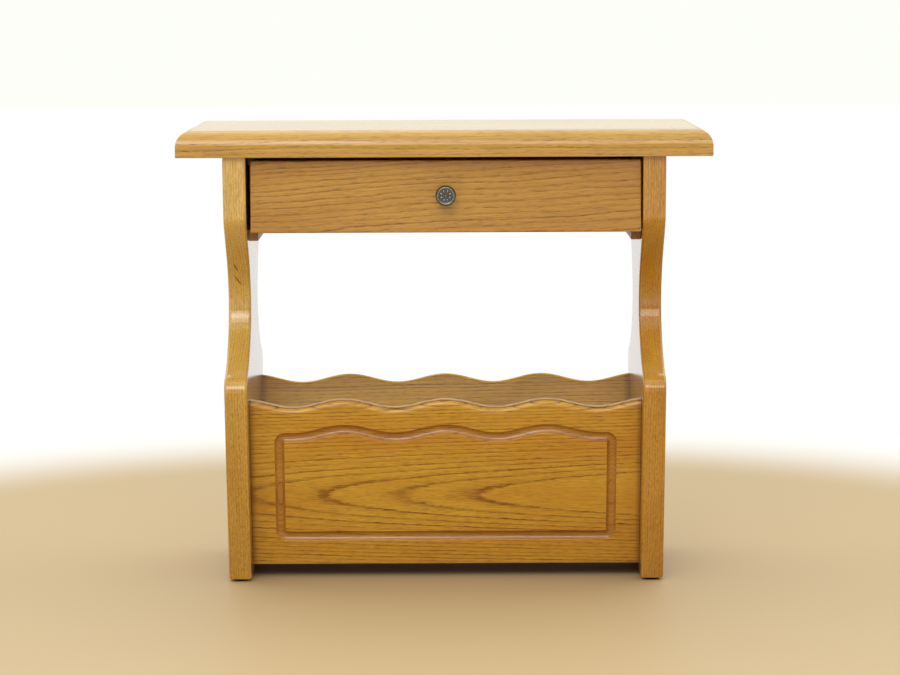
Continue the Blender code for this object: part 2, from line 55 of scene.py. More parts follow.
def addCamera():
    data = bpy.data.cameras.new("tableCamera")
    data.lens = cameraView["lens"]
    data.sensor_width = 36
    data.clip_end = 50
    camera = bpy.data.objects.new("tableCamera", data)
    bpy.context.scene.collection.objects.link(camera)
    tip = Matrix.Rotation(math.radians(90 - cameraView["pitch"]), 4, "X")
    roll = Matrix.Rotation(math.radians(cameraView["roll"]), 4, "Z")
    spot = Vector((cameraView["aside"], -cameraView["distance"], cameraView["height"]))
    camera.matrix_world = Matrix.Translation(spot) @ tip @ roll
    bpy.context.scene.camera = camera


addCamera()


def linearColour(hexText):
    channels = [int(hexText[i:i + 2], 16) / 255 for i in (1, 3, 5)]
    return [c / 12.92 if c <= 0.04045 else ((c + 0.055) / 1.055) ** 2.4 for c in channels] + [1.0]


def addNode(tree, kind, settings=None, feeds=None):
    node = tree.nodes.new("ShaderNode" + kind)
    for key, value in (settings or {}).items():
        if key == "stops":  # colour ramp: position and grey value or hex colour
            ramp = node.color_ramp
            while len(ramp.elements) < len(value):
                ramp.elements.new(0.5)
            for element, (place, tone) in zip(ramp.elements, value):
                element.position = place
                element.color = linearColour(tone) if isinstance(tone, str) else (tone, tone, tone, 1)
        elif isinstance(key, int) or key in node.inputs:
            node.inputs[key].default_value = value
        else:
            setattr(node, key, value)
    for key, source in (feeds or {}).items():
        tree.links.new(source, node.inputs[key])
    return node


def newMaterial(name):
    material = bpy.data.materials.new(name)
    material.use_nodes = True
    tree = material.node_tree
    tree.nodes.clear()
    shader = addNode(tree, "BsdfPrincipled")
    addNode(tree, "OutputMaterial", feeds={"Surface": shader.outputs[0]})
    return material, tree, shader


# Flat-sawn oak under gloss lacquer: ring-porous, so each year's ring starts with a dark
# line of open pores and fades to dense honey-coloured late wood; the lacquer gives the shine.
oakLook = {
    "honey": "#C48A38",       # late wood
    "amber": "#B67A28",       # warmer patches
    "early": "#6E3808",       # pore rows
    "pore": "#532B08",        # single pores
    "sheenColour": "#EFD27E",      # painted sheen: a pale colour standing in for the lacquer's shine
    "endShade": "#6E3A14",       # painted shade at the ends, where the side panels shade the board
    "scuff": "#4A2A10",
    "ringMm": 3.9,            # one year's growth
    "ringUneven": 0.5,        # how far ring widths stray, in rings
    # how dark a ring is from its early wood to its late wood
    "ringTones": [(0.0, 0.35), (0.05, 1.0), (0.14, 0.80), (0.26, 0.25), (0.55, 0.06), (0.95, 0.0),
                  (1.0, 0.35)],
    "phase": 0.0,
    "heart": None,            # ring number inside which the figure ends
    "waveMm": 5.0,            # slow bending of the rings: how deep, then how long and how high
    "waveSizeMm": (190, 45),
    "wobbleMm": 0.7,          # ripples: how deep, then how long and how high
    "wobbleSizeMm": (14, 5),
    "frayMm": 1.3,            # vessels cut lengthwise fray the edge of every ring
    "fraySizeMm": (9, 0.9),
    "gapMm": (38, 4),         # a pore row comes and goes along its length
    "figure": 0.85,           # strength of the rings
    "pores": 0.70,
    "poreMm": (11, 1.1),      # real vessels are 0.3 mm wide; drawn wider so that they show
    "fibre": 0.12,            # light and dark streaks between the pores
    "fibreMm": (70, 1.2),
    "patchMm": (260, 40),     # size of the warmer patches
    "roughness": 0.45,
    "ior": 1.5,
    "bareShine": 0.12,        # lacquer wets the wood: little shine below it
    "coat": 1.0,
    "coatRoughness": 0.12,
    "sinkMm": 0.12,           # pores sink a little through the lacquer
    "seed": 0.0,
    "ends": None,             # painted shade towards the board's ends, where the side panels shade it: (from, to) in metres from the middle
    "bleach": None,           # (from, to, share): heights over which a painted sheen fades in, upward, to the given share
    "marks": (),              # scuffs in the lacquer: (centre, turn, half sizes)
}


def grainFrame(origin, along, across):
    # the log's axes: x runs along the pith, y across the board's face
    x = Vector(along).normalized()
    z = x.cross(Vector(across)).normalized()
    y = z.cross(x)
    turn = Matrix((x, y, z)).transposed()
    return {"vector_type": "TEXTURE", "Location": origin, "Rotation": turn.to_euler("XYZ")}


def oak(name, origin, along, across, **changes):
    look = {**oakLook, **changes}
    material, tree, shader = newMaterial(name)
    place = addNode(tree, "TexCoord")
    log = addNode(tree, "Mapping", grainFrame(origin, along, across), {"Vector": place.outputs["Object"]})
    seeded = addNode(tree, "VectorMath", {"operation": "ADD", 1: (look["seed"], look["seed"] * 0.7, 0)},
                     {0: log.outputs[0]})

    def stretched(sizeMm, detail=2.0):
        # noise drawn out along the log
        lengthMm, widthMm = sizeMm
        scale = addNode(tree, "VectorMath", {"operation": "MULTIPLY",
                        1: (1000 / lengthMm, 1000 / widthMm, 1000 / widthMm)}, {0: seeded.outputs[0]})
        noise = addNode(tree, "TexNoise", {"Scale": 1.0, "Detail": detail, "Roughness": 0.5},
                        {"Vector": scale.outputs[0]})
        return noise.outputs[0]

    def shifted(source, amount, base):
        centred = addNode(tree, "Math", {"operation": "SUBTRACT", 1: 0.5}, {0: source})
        return addNode(tree, "Math", {"operation": "MULTIPLY_ADD", 1: amount},
                       {0: centred.outputs[0], 2: base}).outputs[0]

    # distance from the pith, bent by slow waves and a finer wobble
    radial = addNode(tree, "VectorMath", {"operation": "MULTIPLY", 1: (0, 1, 1)}, {0: log.outputs[0]})
    distance = addNode(tree, "VectorMath", {"operation": "LENGTH"}, {0: radial.outputs[0]}).outputs["Value"]
    distance = shifted(stretched(look["waveSizeMm"], 1.0), look["waveMm"] * 2 * mm, distance)
    distance = shifted(stretched(look["wobbleSizeMm"]), look["wobbleMm"] * mm, distance)
    distance = shifted(stretched(look["fraySizeMm"]), look["frayMm"] * mm, distance)
    rings = addNode(tree, "Math", {"operation": "DIVIDE", 1: look["ringMm"] * mm}, {0: distance}).outputs[0]
    uneven = addNode(tree, "TexNoise", {"noise_dimensions": "1D", "Scale": 0.45, "Detail": 1.0}, {"W": rings})
    rings = shifted(uneven.outputs[0], look["ringUneven"] * 2, rings)
    rings = addNode(tree, "Math", {"operation": "ADD", 1: look["phase"]}, {0: rings}).outputs[0]
    part = addNode(tree, "Math", {"operation": "FRACT"}, {0: rings})
    number = addNode(tree, "Math", {"operation": "FLOOR"}, {0: rings})
    darkness = addNode(tree, "ValToRGB", {"stops": look["ringTones"]}, {"Fac": part.outputs[0]})
    strength = addNode(tree, "TexWhiteNoise", {"noise_dimensions": "1D"}, {"W": number.outputs[0]})
    strength = addNode(tree, "MapRange", {"To Min": 0.45, "To Max": 1.0}, {"Value": strength.outputs[0]})
    broken = addNode(tree, "MapRange", {"From Min": 0.30, "From Max": 0.62, "To Min": 0.45, "To Max": 1.0},
                     {"Value": stretched(look["gapMm"])})
    ringDark = addNode(tree, "Math", {"operation": "MULTIPLY"},
                       {0: darkness.outputs[0], 1: strength.outputs[0]})
    ringDark = addNode(tree, "Math", {"operation": "MULTIPLY"},
                       {0: ringDark.outputs[0], 1: broken.outputs[0]})

    if look["heart"]:
        outside = addNode(tree, "MapRange", {"From Min": look["heart"] - 0.15,
                                             "From Max": look["heart"] + 0.15}, {"Value": rings})
        ringDark = addNode(tree, "Math", {"operation": "MULTIPLY"},
                           {0: ringDark.outputs[0], 1: outside.outputs[0]})

    # pores: short dark dashes, crowded in the early wood
    dashes = addNode(tree, "MapRange", {"From Min": 0.46, "From Max": 0.38, "To Min": 0.0, "To Max": 1.0},
                     {"Value": stretched(look["poreMm"], 1.0)})
    crowd = addNode(tree, "MapRange", {"To Min": 0.28, "To Max": 1.0}, {"Value": ringDark.outputs[0]})
    poreMask = addNode(tree, "Math", {"operation": "MULTIPLY"}, {0: dashes.outputs[0], 1: crowd.outputs[0]})

    # colour, from the broad tone to the finest dash
    tone = addNode(tree, "MapRange", {"From Min": 0.35, "From Max": 0.65},
                   {"Value": stretched(look["patchMm"])})
    colour = addNode(tree, "Mix", {"data_type": "RGBA", 6: linearColour(look["honey"]),
                                   7: linearColour(look["amber"])}, {0: tone.outputs[0]})
    # painted sheen: paler towards the top, standing in for the lacquer's shine
    if look["bleach"]:
        split = addNode(tree, "SeparateXYZ", feeds={0: place.outputs["Object"]})
        sheenShare = addNode(tree, "MapRange", {"From Min": look["bleach"][0], "From Max": look["bleach"][1],
                                           "To Max": look["bleach"][2], "interpolation_type": "SMOOTHSTEP"},
                        {"Value": split.outputs[2]})
        colour = addNode(tree, "Mix", {"data_type": "RGBA", 7: linearColour(look["sheenColour"])},
                         {0: sheenShare.outputs[0], 6: colour.outputs[2]})
    fibre = addNode(tree, "MapRange", {"From Min": 0.3, "From Max": 0.7, "To Min": 1 - look["fibre"],
                                       "To Max": 1 + look["fibre"]}, {"Value": stretched(look["fibreMm"])})
    colour = addNode(tree, "Mix", {"data_type": "RGBA", "blend_type": "MULTIPLY", 0: 1.0},
                     {6: colour.outputs[2], 7: fibre.outputs[0]})
    ringShare = addNode(tree, "Math", {"operation": "MULTIPLY", 1: look["figure"]}, {0: ringDark.outputs[0]})
    colour = addNode(tree, "Mix", {"data_type": "RGBA", 7: linearColour(look["early"])},
                     {0: ringShare.outputs[0], 6: colour.outputs[2]})
    poreShare = addNode(tree, "Math", {"operation": "MULTIPLY", 1: look["pores"]}, {0: poreMask.outputs[0]})
    colour = addNode(tree, "Mix", {"data_type": "RGBA", 7: linearColour(look["pore"])},
                     {0: poreShare.outputs[0], 6: colour.outputs[2]})
    # painted shade: darker towards the ends, where the side panels shade the board
    if look["ends"]:
        split = addNode(tree, "SeparateXYZ", feeds={0: place.outputs["Object"]})
        fromMiddle = addNode(tree, "Math", {"operation": "ABSOLUTE"}, {0: split.outputs[0]})
        endShade = addNode(tree, "MapRange", {"From Min": look["ends"][0], "From Max": look["ends"][1],
                                           "To Max": 0.5, "interpolation_type": "SMOOTHSTEP"},
                        {"Value": fromMiddle.outputs[0]})
        colour = addNode(tree, "Mix", {"data_type": "RGBA", 7: linearColour(look["endShade"])},
                         {0: endShade.outputs[0], 6: colour.outputs[2]})
    for spot, turn, size in look["marks"]:
        near = addNode(tree, "Mapping", {"vector_type": "TEXTURE", "Location": spot, "Rotation": turn,
                                         "Scale": size}, {"Vector": place.outputs["Object"]})
        reach = addNode(tree, "VectorMath", {"operation": "LENGTH"}, {0: near.outputs[0]})
        mark = addNode(tree, "MapRange", {"From Min": 1.0, "From Max": 0.45, "To Max": 0.75},
                       {"Value": reach.outputs["Value"]})
        colour = addNode(tree, "Mix", {"data_type": "RGBA", 7: linearColour(look["scuff"])},
                         {0: mark.outputs[0], 6: colour.outputs[2]})

    relief = addNode(tree, "Math", {"operation": "MULTIPLY_ADD", 1: 0.5},
                     {0: ringDark.outputs[0], 2: poreMask.outputs[0]})
    bump = addNode(tree, "Bump", {"invert": True, "Strength": 0.35, "Distance": look["sinkMm"] * mm},
                   {"Height": relief.outputs[0]})
    tree.links.new(colour.outputs[2], shader.inputs["Base Color"])
    tree.links.new(bump.outputs[0], shader.inputs["Normal"])
    shader.inputs["Roughness"].default_value = look["roughness"]
    shader.inputs["IOR"].default_value = look["ior"]
    shader.inputs["Specular IOR Level"].default_value = look["bareShine"]
    shader.inputs["Coat Weight"].default_value = look["coat"]
    shader.inputs["Coat Roughness"].default_value = look["coatRoughness"]
    shader.inputs["Coat IOR"].default_value = look["ior"]
    return material


rackTilt = math.atan(rackSlope)
rackOut = {-1: Vector((0, -math.cos(rackTilt), -math.sin(rackTilt))),
           1: Vector((0, math.cos(rackTilt), -math.sin(rackTilt)))}
rackUp = {-1: Vector((0, -math.sin(rackTilt), math.cos(rackTilt))),
          1: Vector((0, math.sin(rackTilt), math.cos(rackTilt)))}

# The front panel's pith runs 47 mm behind its face and leans towards it to the right,
# which is what draws the nested tongues. Each set below is the pith's place, its direction
# and a direction along the board's face.
rackFrontLog = (Vector((0, -0.0965, 0.095)) - rackOut[-1] * 0.0468,
                Vector((1, 0, 0)) + rackOut[-1] * 0.042, rackUp[-1])
# its ends carry painted shade next to the legs
oakRackFront = oak("oakRackFront", *rackFrontLog,
                   honey="#CE9D30", amber="#C58A24", early="#74360A", ringMm=3.6, ringUneven=0.12,
                   phase=0.43, waveMm=0.9, figure=0.95, heart=12.8, coat=0.75, coatRoughness=0.22,
                   ends=(0.2085, 0.2147))
oakRail = oak("oakRail", Vector((0, 0.08, 0.41)), Vector((1, 0.01, 0.012)), Vector((0, 0, 1)),
              honey="#BF882D", amber="#B27A22", ringMm=4.6, seed=63.0)
# its ends carry painted shade in the rack's corners
oakRackBack = oak("oakRackBack", Vector((0, 0.09, 0.02)) - rackOut[1] * 0.060,
                  Vector((1, 0, 0.02)), rackUp[1], honey="#D8AC3C", amber="#C99A30", ringMm=4.2,
                  waveMm=4.0, ends=(0.205, 0.2147), seed=3.1, coat=0.3)
oakDrawer = oak("oakDrawer", Vector((0.02, -0.06, 0.335)), Vector((1, 0, 0.06)), Vector((0, 0, 1)),
                honey="#BB8A33", amber="#B07C29", early="#743A06", ringMm=5.2, waveMm=6.5,
                waveSizeMm=(150, 45), wobbleMm=2.0, wobbleSizeMm=(24, 9), coat=0.8, seed=7.7)
oakTop = oak("oakTop", Vector((0, -0.06, 0.405)), Vector((1, 0.01, 0.012)), Vector((0, 1, 0)),
             honey="#C49842", amber="#B88834", ringMm=3.4, waveMm=3.0, figure=0.6, coat=0.85, seed=12.3)
# paled towards the top by a painted sheen
oakSideLeft = oak("oakSideLeft", Vector((-1.6, 0.01, 0.2)), Vector((0.012, 0.02, 1)), Vector((0, 1, 0)),
                  honey="#CA9A3E", amber="#BC8A30", ringMm=2.8, waveMm=1.2, figure=0.6, fibre=0.18,
                  poreMm=(7, 0.8), pores=0.65, bleach=(0.12, 0.33, 0.25), seed=21.0,
                  marks=[(Vector((-0.2302, -0.092, 0.3462)), (0, -0.45, 0), (0.0013, 0.03, 0.0070)),
                         (Vector((-0.2288, -0.078, 0.3318)), (0, -0.62, 0), (0.0012, 0.03, 0.0088))])
# darker than the left panel: partly its own board's tone, partly painted shade, as the light falls from the
# left
oakSideRight = oak("oakSideRight", Vector((1.6, -0.01, 0.2)), Vector((-0.011, 0.02, 1)), Vector((0, 1, 0)),
                   honey="#C18A2E", amber="#B37C24", ringMm=2.8, waveMm=1.2, figure=0.6, fibre=0.18,
                   poreMm=(7, 0.8), pores=0.65, seed=33.0)
# darker than the panel's face: partly lacquer gathered in the groove, partly painted shade in the recess
oakGroove = oak("oakGroove", *rackFrontLog,
                honey="#BC8533", amber="#AE7428", ringMm=3.6, ringUneven=0.12, phase=0.43, waveMm=0.9,
                figure=0.6, coatRoughness=0.22)
oakInner = oak("oakInner", Vector((0, 0.05, 0.34)), Vector((1, 0.01, 0)), Vector((0, 1, 0)),
               honey="#A9783E", amber="#9C6B33", figure=0.5, coat=0.3, roughness=0.5, seed=41.0)
oakInnerLong = oak("oakInnerLong", Vector((0.1, 0, 0.33)), Vector((0, 1, 0.02)), Vector((1, 0, 0)),
                   honey="#A07040", amber="#936334", figure=0.5, coat=0.2, roughness=0.5, seed=45.0)
oakBoxSides = oak("oakBoxSides", Vector((0.17, 0, 0.36)), Vector((0, 1, 0.015)), Vector((0, 0, 1)),
                  honey="#CFA56C", amber="#C4965A", early="#9A6A35", figure=0.4, coat=0.0, roughness=0.6,
                  seed=51.0)
oakBoxCross = oak("oakBoxCross", Vector((0, 0.03, 0.35)), Vector((1, 0.01, 0.01)), Vector((0, 1, 0)),
                  honey="#CFA56C", amber="#C4965A", early="#9A6A35", figure=0.4, coat=0.0, roughness=0.6,
                  seed=57.0)
print("oak mixed")


# Cast pewter, chemically darkened and rubbed back: grey metal on the raised work, near-black
# patina in the hollows.
pewterLook = {"raised": "#8B8983", "hollow": "#24211D", "roughness": 0.36, "faceY": -0.1554,
              "depth": 1.9 * mm, "grainMm": 0.8, "pitMm": 0.08}


def pewter():
    material, tree, shader = newMaterial("pewterAntiqued")
    place = addNode(tree, "TexCoord")
    split = addNode(tree, "SeparateXYZ", feeds={0: place.outputs["Object"]})
    depth = addNode(tree, "MapRange", {"From Min": pewterLook["faceY"] + 0.1 * mm,
                                       "From Max": pewterLook["faceY"] + pewterLook["depth"]},
                    {"Value": split.outputs[1]})
    noise = addNode(tree, "TexNoise", {"Scale": 1 / (pewterLook["grainMm"] * mm), "Detail": 4.0},
                    {"Vector": place.outputs["Object"]})
    worn = addNode(tree, "Math", {"operation": "MULTIPLY_ADD", 1: 0.5, 2: -0.25}, {0: noise.outputs[0]})
    mask = addNode(tree, "Math", {"operation": "ADD", "use_clamp": True},
                   {0: depth.outputs[0], 1: worn.outputs[0]})
    colour = addNode(tree, "Mix", {"data_type": "RGBA", 6: linearColour(pewterLook["raised"]),
                                   7: linearColour(pewterLook["hollow"])}, {0: mask.outputs[0]})
    bump = addNode(tree, "Bump", {"Strength": 0.5, "Distance": pewterLook["pitMm"] * mm},
                   {"Height": noise.outputs[0]})
    tree.links.new(colour.outputs[2], shader.inputs["Base Color"])
    tree.links.new(bump.outputs[0], shader.inputs["Normal"])
    shader.inputs["Metallic"].default_value = 1.0
    shader.inputs["Roughness"].default_value = pewterLook["roughness"]
    return material


# Zinc-plated steel screws: bright, faintly mottled.
zincLook = {"dull": "#8E8C84", "bright": "#B9B7AE", "mottleMm": 1.5, "roughness": 0.38}


def zincSteel():
    material, tree, shader = newMaterial("steelZincPlated")
    place = addNode(tree, "TexCoord")
    noise = addNode(tree, "TexNoise", {"Scale": 1 / (zincLook["mottleMm"] * mm), "Detail": 3.0},
                    {"Vector": place.outputs["Object"]})
    colour = addNode(tree, "ValToRGB", {"stops": [(0.35, zincLook["dull"]), (0.65, zincLook["bright"])]},
                     {"Fac": noise.outputs[0]})
    tree.links.new(colour.outputs[0], shader.inputs["Base Color"])
    shader.inputs["Metallic"].default_value = 1.0
    shader.inputs["Roughness"].default_value = zincLook["roughness"]
    return material


# Pressed felt pads: matt, dark and fuzzy.
feltLook = {"dark": "#1E1814", "light": "#3A2F28", "tuftMm": 0.5, "nap": 0.2 * mm, "roughness": 0.9}


def darkFelt():
    material, tree, shader = newMaterial("feltDark")
    place = addNode(tree, "TexCoord")
    noise = addNode(tree, "TexNoise", {"Scale": 1 / (feltLook["tuftMm"] * mm), "Detail": 3.0},
                    {"Vector": place.outputs["Object"]})
    colour = addNode(tree, "ValToRGB", {"stops": [(0.3, feltLook["dark"]), (0.7, feltLook["light"])]},
                     {"Fac": noise.outputs[0]})
    bump = addNode(tree, "Bump", {"Strength": 0.6, "Distance": feltLook["nap"]},
                   {"Height": noise.outputs[0]})
    tree.links.new(colour.outputs[0], shader.inputs["Base Color"])
    tree.links.new(bump.outputs[0], shader.inputs["Normal"])
    shader.inputs["Roughness"].default_value = feltLook["roughness"]
    return material


# Turned beech dowels: pale, plain, with tiny ray flecks along the pin.
beechLook = {
    "fleck": "#B88A5A",
    "pale": "#D6B083",
    "perMetre": (250, 900, 900),  # flecks 4 mm long and 1.1 mm wide, drawn coarse so that they show
    "roughness": 0.6,
}


def beech():
    material, tree, shader = newMaterial("beechTurned")
    place = addNode(tree, "TexCoord")
    stretch = addNode(tree, "VectorMath", {"operation": "MULTIPLY", 1: beechLook["perMetre"]},
                      {0: place.outputs["Object"]})
    noise = addNode(tree, "TexNoise", {"Scale": 1.0, "Detail": 2.0}, {"Vector": stretch.outputs[0]})
    colour = addNode(tree, "ValToRGB", {"stops": [(0.35, beechLook["fleck"]), (0.6, beechLook["pale"])]},
                     {"Fac": noise.outputs[0]})
    tree.links.new(colour.outputs[0], shader.inputs["Base Color"])
    shader.inputs["Roughness"].default_value = beechLook["roughness"]
    return material


pewterAntiqued = pewter()
steelZincPlated = zincSteel()
feltDark = darkFelt()
beechTurned = beech()


def pick(piece):
    bpy.ops.object.select_all(action="DESELECT")
    piece.select_set(True)
    bpy.context.view_layer.objects.active = piece


def applyTransform(piece):
    pick(piece)
    bpy.ops.object.transform_apply(location=True, rotation=True, scale=True)


def startCube(name, low, high):
    bpy.ops.object.select_all(action="DESELECT")
    middle = (Vector(low) + Vector(high)) / 2
    bpy.ops.mesh.primitive_cube_add(size=1, location=middle, scale=Vector(high) - Vector(low))
    piece = bpy.context.active_object
    piece.name = name
    applyTransform(piece)
    return piece


def selectByPlace(piece, vertTest=None, edgeTest=None, faceTest=None):
    bpy.ops.mesh.select_all(action="DESELECT")
    mesh = bmesh.from_edit_mesh(piece.data)
    if vertTest:
        for vert in mesh.verts:
            vert.select_set(vertTest(vert.co))
    if edgeTest:
        for edge in mesh.edges:
            edge.select_set(edgeTest(edge.verts[0].co, edge.verts[1].co))
    if faceTest:
        for face in mesh.faces:
            face.select_set(faceTest(face))
    mesh.select_flush_mode()
    bmesh.update_edit_mesh(piece.data)


def editMode(piece, kind="EDGE"):
    pick(piece)
    bpy.ops.object.mode_set(mode="EDIT")
    bpy.ops.mesh.select_mode(type=kind)


def objectMode():
    bpy.ops.object.mode_set(mode="OBJECT")


def applyModifier(piece, kind, **settings):
    bpy.context.view_layer.objects.active = piece
    modifier = piece.modifiers.new(kind.lower(), kind)
    for key, value in settings.items():
        setattr(modifier, key, value)
    bpy.ops.object.modifier_apply(modifier=modifier.name)


def finishPiece(piece, material, body, nodes=(), angle=35):
    pick(piece)
    bpy.ops.object.shade_smooth_by_angle(angle=math.radians(angle))
    applyModifier(piece, "WEIGHTED_NORMAL", mode="FACE_AREA", weight=70, keep_sharp=True)
    if material:
        piece.data.materials.clear()
        piece.data.materials.append(material)
    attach(piece, body)
    if nodes:
        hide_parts(*nodes)


def twin(piece, name, node, twinNode):
    # the same piece again with its own mesh, moved to where its twin stands
    copy = piece.copy()
    copy.data = piece.data.copy()
    copy.name = name
    bpy.context.scene.collection.objects.link(copy)
    copy.data.transform(Matrix.Translation(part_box(twinNode)[0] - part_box(node)[0]))
    return copy


topLook = {"round": 17.5 * mm, "roundSteps": 12, "arris": 1.0 * mm}


def makeTop():
    low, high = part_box("table_top")
    top = startCube("tableTop", low, high)
    editMode(top)
    selectByPlace(top, edgeTest=lambda a, b: min(a.z, b.z) > high.z - mm)
    bpy.ops.mesh.bevel(offset=topLook["round"], segments=topLook["roundSteps"], profile=0.5, affect="EDGES")
    selectByPlace(top, edgeTest=lambda a, b: max(a.z, b.z) < low.z + 0.1 * mm)
    bpy.ops.mesh.bevel(offset=topLook["arris"], segments=2, affect="EDGES")
    objectMode()
    finishPiece(top, oakTop, "frame", ["table_top"])


makeTop()
print("table top moulded")

sideLook = {
    "topDepth": {-1: 0.1450, 1: 0.1375},   # front and back, under the top
    "topHandle": (0.1450, 0.4480),
    "bayHandle": (0.1386, 0.4200),
    "bay": (0.1372, 0.4045),               # half depth and height where the panel starts to narrow
    "bayToWaist": ((0.1340, 0.3840), (0.0635, 0.3510)),
    "waist": (0.0635, 0.3020),
    "waistToLedge": ((0.0635, 0.2740), (0.1090, 0.2400)),
    "ledge": (0.1430, 0.2322),
    "ledgeToShoulder": ((0.1500, 0.2303), (0.1571, 0.2238)),
    "shoulderZ": 0.2150,
    "footHalf": 0.1075,
    "footZ": 0.0030,
    "steps": (8, 24, 24, 12),              # along each of the four curves, from the top down
    "arris": 2.6 * mm,
}


def curvePoints(start, handleA, handleB, end, count):
    points = []
    for step in range(1, count + 1):
        t = step / count
        weights = ((1 - t) ** 3, 3 * t * (1 - t) ** 2, 3 * t * t * (1 - t), t ** 3)
        corners = (start, handleA, handleB, end)
        points.append([sum(w * p[k] for w, p in zip(weights, corners)) for k in (0, 1)])
    return points


def sideProfile(lowZ, highZ):
    # (front depth, back depth, height) from the top down
    look = sideLook
    shoulder = (look["footHalf"] + rackSlope * (look["shoulderZ"] - look["footZ"]), look["shoulderZ"])
    topFront, topBack = look["topDepth"][-1], look["topDepth"][1]
    leanSteps, waistSteps, ledgeSteps, shoulderSteps = look["steps"]
    rings = [(topFront, topBack, highZ)]
    lean = curvePoints((topFront, highZ), look["topHandle"], look["bayHandle"], look["bay"], leanSteps)
    rings += [(depth, topBack, z) for depth, z in lean]
    rings[-1] = (look["bay"][0], look["bay"][0], look["bay"][1])
    below = curvePoints(look["bay"], *look["bayToWaist"], look["waist"], waistSteps)
    below += curvePoints(look["waist"], *look["waistToLedge"], look["ledge"], ledgeSteps)
    below += curvePoints(look["ledge"], *look["ledgeToShoulder"], shoulder, shoulderSteps)
    rings += [(depth, depth, z) for depth, z in below]
    rings.append((look["footHalf"], look["footHalf"], lowZ))
    return rings


def shapeSide(name, node):
    low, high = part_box(node)
    middleX = (low.x + high.x) / 2
    panel = startCube(name, (low.x, -1, low.z), (high.x, 1, high.z))
    editMode(panel, "VERT")
    rings = sideProfile(low.z, high.z)
    for front, back, z in rings[1:-1]:
        bpy.ops.mesh.select_all(action="SELECT")
        bpy.ops.mesh.bisect(plane_co=(0, 0, z), plane_no=(0, 0, 1))
    for front, back, z in rings:
        for sign, depth in ((-1, front), (1, back)):
            selectByPlace(panel, vertTest=lambda co: abs(co.z - z) < 0.01 * mm and abs(co.y - sign) < 0.01)
            bpy.ops.transform.resize(value=(1, depth, 1), center_override=(middleX, 0, z))
    bpy.ops.mesh.select_mode(type="EDGE")
    selectByPlace(panel, edgeTest=lambda a, b: abs(a.x - b.x) < 0.01 * mm and min(a.z, b.z) < high.z - mm
                  and (abs(a.z - b.z) > 0.001 * mm and a.y * b.y > 0 or max(a.z, b.z) < low.z + 0.01 * mm))
    bpy.ops.mesh.bevel(offset=sideLook["arris"], segments=4, profile=0.5, affect="EDGES")
    objectMode()
    return panel


def makeSides():
    left = shapeSide("sidePanelLeft", "side_panel_left")
    right = twin(left, "sidePanelRight", "side_panel_left", "side_panel_right")
    finishPiece(left, oakSideLeft, "frame", ["side_panel_left"])
    finishPiece(right, oakSideRight, "frame", ["side_panel_right"])


makeSides()
print("side panels shaped")

rackLook = {
    "halfWidth": 214.7 * mm,
    "thickness": 15 * mm,
    "refZ": 0.200,
    "bottomZ": 0.0145,
    "meanZ": {-1: 0.1977, 1: 0.1967},   # the rim's mean height, front and back
    "faceY": {-1: -0.1205, 1: 0.1355},  # outer faces at refZ
    "period": 111.3 * mm,
    "wave": 9.3 * mm,
    "cuts": (42, 3),      # 43 columns, then each into four
    "rimOuter": 6.2 * mm,
    "rimInner": 4.5 * mm,
    "arris": 1.2 * mm,
}
grooveLook = {
    "half": 183 * mm,
    "drop": 32.7 * mm,    # below the rim's mean height
    "rise": 33.8 * mm,    # above the panel's foot
    "corner": 6.5 * mm,
    "radius": 5.6 * mm,   # of the cutter
    "depth": 3.8 * mm,
    "lip": 0.5 * mm,
    "waves": 1.5,         # scallops each side of the middle; the path is level beyond them
    "steps": 54,          # path points on each side
}


def rackHeight(sign):
    return (rackLook["meanZ"][sign] - rackLook["bottomZ"]) / math.cos(rackTilt)


def scallop(x):
    return rackLook["wave"] / 2 * math.cos(2 * math.pi * x / rackLook["period"])


def rackBlank(name, sign):
    # modelled upright, outer face at y = 0, then tilted into place
    half, tall = rackLook["halfWidth"], rackHeight(sign)
    inner = -sign * rackLook["thickness"]
    panel = startCube(name, (-half, min(0, inner), 0), (half, max(0, inner), tall))
    editMode(panel)
    selectByPlace(panel, edgeTest=lambda a, b: min(a.z, b.z) > tall - mm and abs(a.x - b.x) > mm)
    for cuts in rackLook["cuts"]:
        bpy.ops.mesh.subdivide(number_cuts=cuts)
    bpy.ops.mesh.select_mode(type="VERT")
    columns = math.prod(cuts + 1 for cuts in rackLook["cuts"])
    step = 2 * half / columns
    for column in range(columns + 1):
        x = -half + column * step
        selectByPlace(panel, vertTest=lambda co: abs(co.x - x) < step / 4 and co.z > tall / 2)
        bpy.ops.transform.translate(value=(0, 0, scallop(x)))
    bpy.ops.mesh.select_mode(type="EDGE")
    for y, radius in ((0, rackLook["rimOuter"]), (inner, rackLook["rimInner"])):
        selectByPlace(panel, edgeTest=lambda a, b: min(a.z, b.z) > tall / 2 and abs(a.x - b.x) > 0.01 * mm
                      and abs(a.y - y) < 0.01 * mm and abs(b.y - y) < 0.01 * mm)
        bpy.ops.mesh.bevel(offset=radius, segments=5, profile=0.5, affect="EDGES")
    selectByPlace(panel, edgeTest=lambda a, b: max(a.z, b.z) < 0.01 * mm and abs(a.x - b.x) > mm)
    bpy.ops.mesh.bevel(offset=rackLook["arris"], segments=2, affect="EDGES")
    objectMode()
    return panel


def placeRackPanel(panel, sign):
    bottomY = rackLook["faceY"][sign] - sign * rackSlope * (rackLook["refZ"] - rackLook["bottomZ"])
    panel.location = (0, bottomY, rackLook["bottomZ"])
    panel.rotation_euler = (-sign * rackTilt, 0, 0)
    applyTransform(panel)


